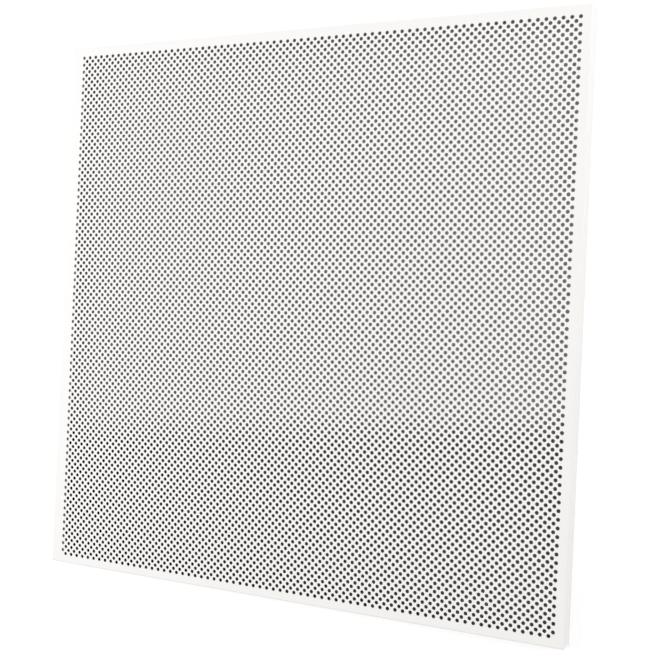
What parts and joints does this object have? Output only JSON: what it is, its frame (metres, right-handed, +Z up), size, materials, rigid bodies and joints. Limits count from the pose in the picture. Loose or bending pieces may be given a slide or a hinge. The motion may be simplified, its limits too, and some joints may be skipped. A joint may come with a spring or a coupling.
{
  "type": "perforated ceiling tile",
  "caption": "Square folded sheet-metal ceiling tile with a diagonal field of small open round holes, plain margins and flanges at its four edges, for a lay-in grid.",
  "frame": {"origin": "on the floor under the middle of the tile's outline, at the flanges' free edges", "axes": "+Z up, out of the visible face; +X and +Y along the tile's edges, with hole rows along X"},
  "size_m": [0.595, 0.595, 0.02],
  "materials": {
    "white_coat": "matt white powder coat on folded sheet steel"
  },
  "bodies": {
    "root": {"rim": "white_coat", "perforated_strip_01": "white_coat", "perforated_strip_02": "white_coat", "perforated_strip_03": "white_coat", "perforated_strip_04": "white_coat", "perforated_strip_05": "white_coat", "perforated_strip_06": "white_coat", "perforated_strip_07": "white_coat", "perforated_strip_08": "white_coat", "perforated_strip_09": "white_coat", "perforated_strip_10": "white_coat", "perforated_strip_11": "white_coat", "perforated_strip_12": "white_coat", "perforated_strip_13": "white_coat", "perforated_strip_14": "white_coat", "perforated_strip_15": "white_coat", "perforated_strip_16": "white_coat", "perforated_strip_17": "white_coat", "perforated_strip_18": "white_coat", "perforated_strip_19": "white_coat", "perforated_strip_20": "white_coat", "perforated_strip_21": "white_coat", "perforated_strip_22": "white_coat", "perforated_strip_23": "white_coat", "perforated_strip_24": "white_coat", "perforated_strip_25": "white_coat", "perforated_strip_26": "white_coat", "perforated_strip_27": "white_coat", "perforated_strip_28": "white_coat", "perforated_strip_29": "white_coat", "perforated_strip_30": "white_coat", "perforated_strip_31": "white_coat", "perforated_strip_32": "white_coat", "perforated_strip_33": "white_coat", "perforated_strip_34": "white_coat", "perforated_strip_35": "white_coat", "perforated_strip_36": "white_coat"}
  },
  "joints": []
}
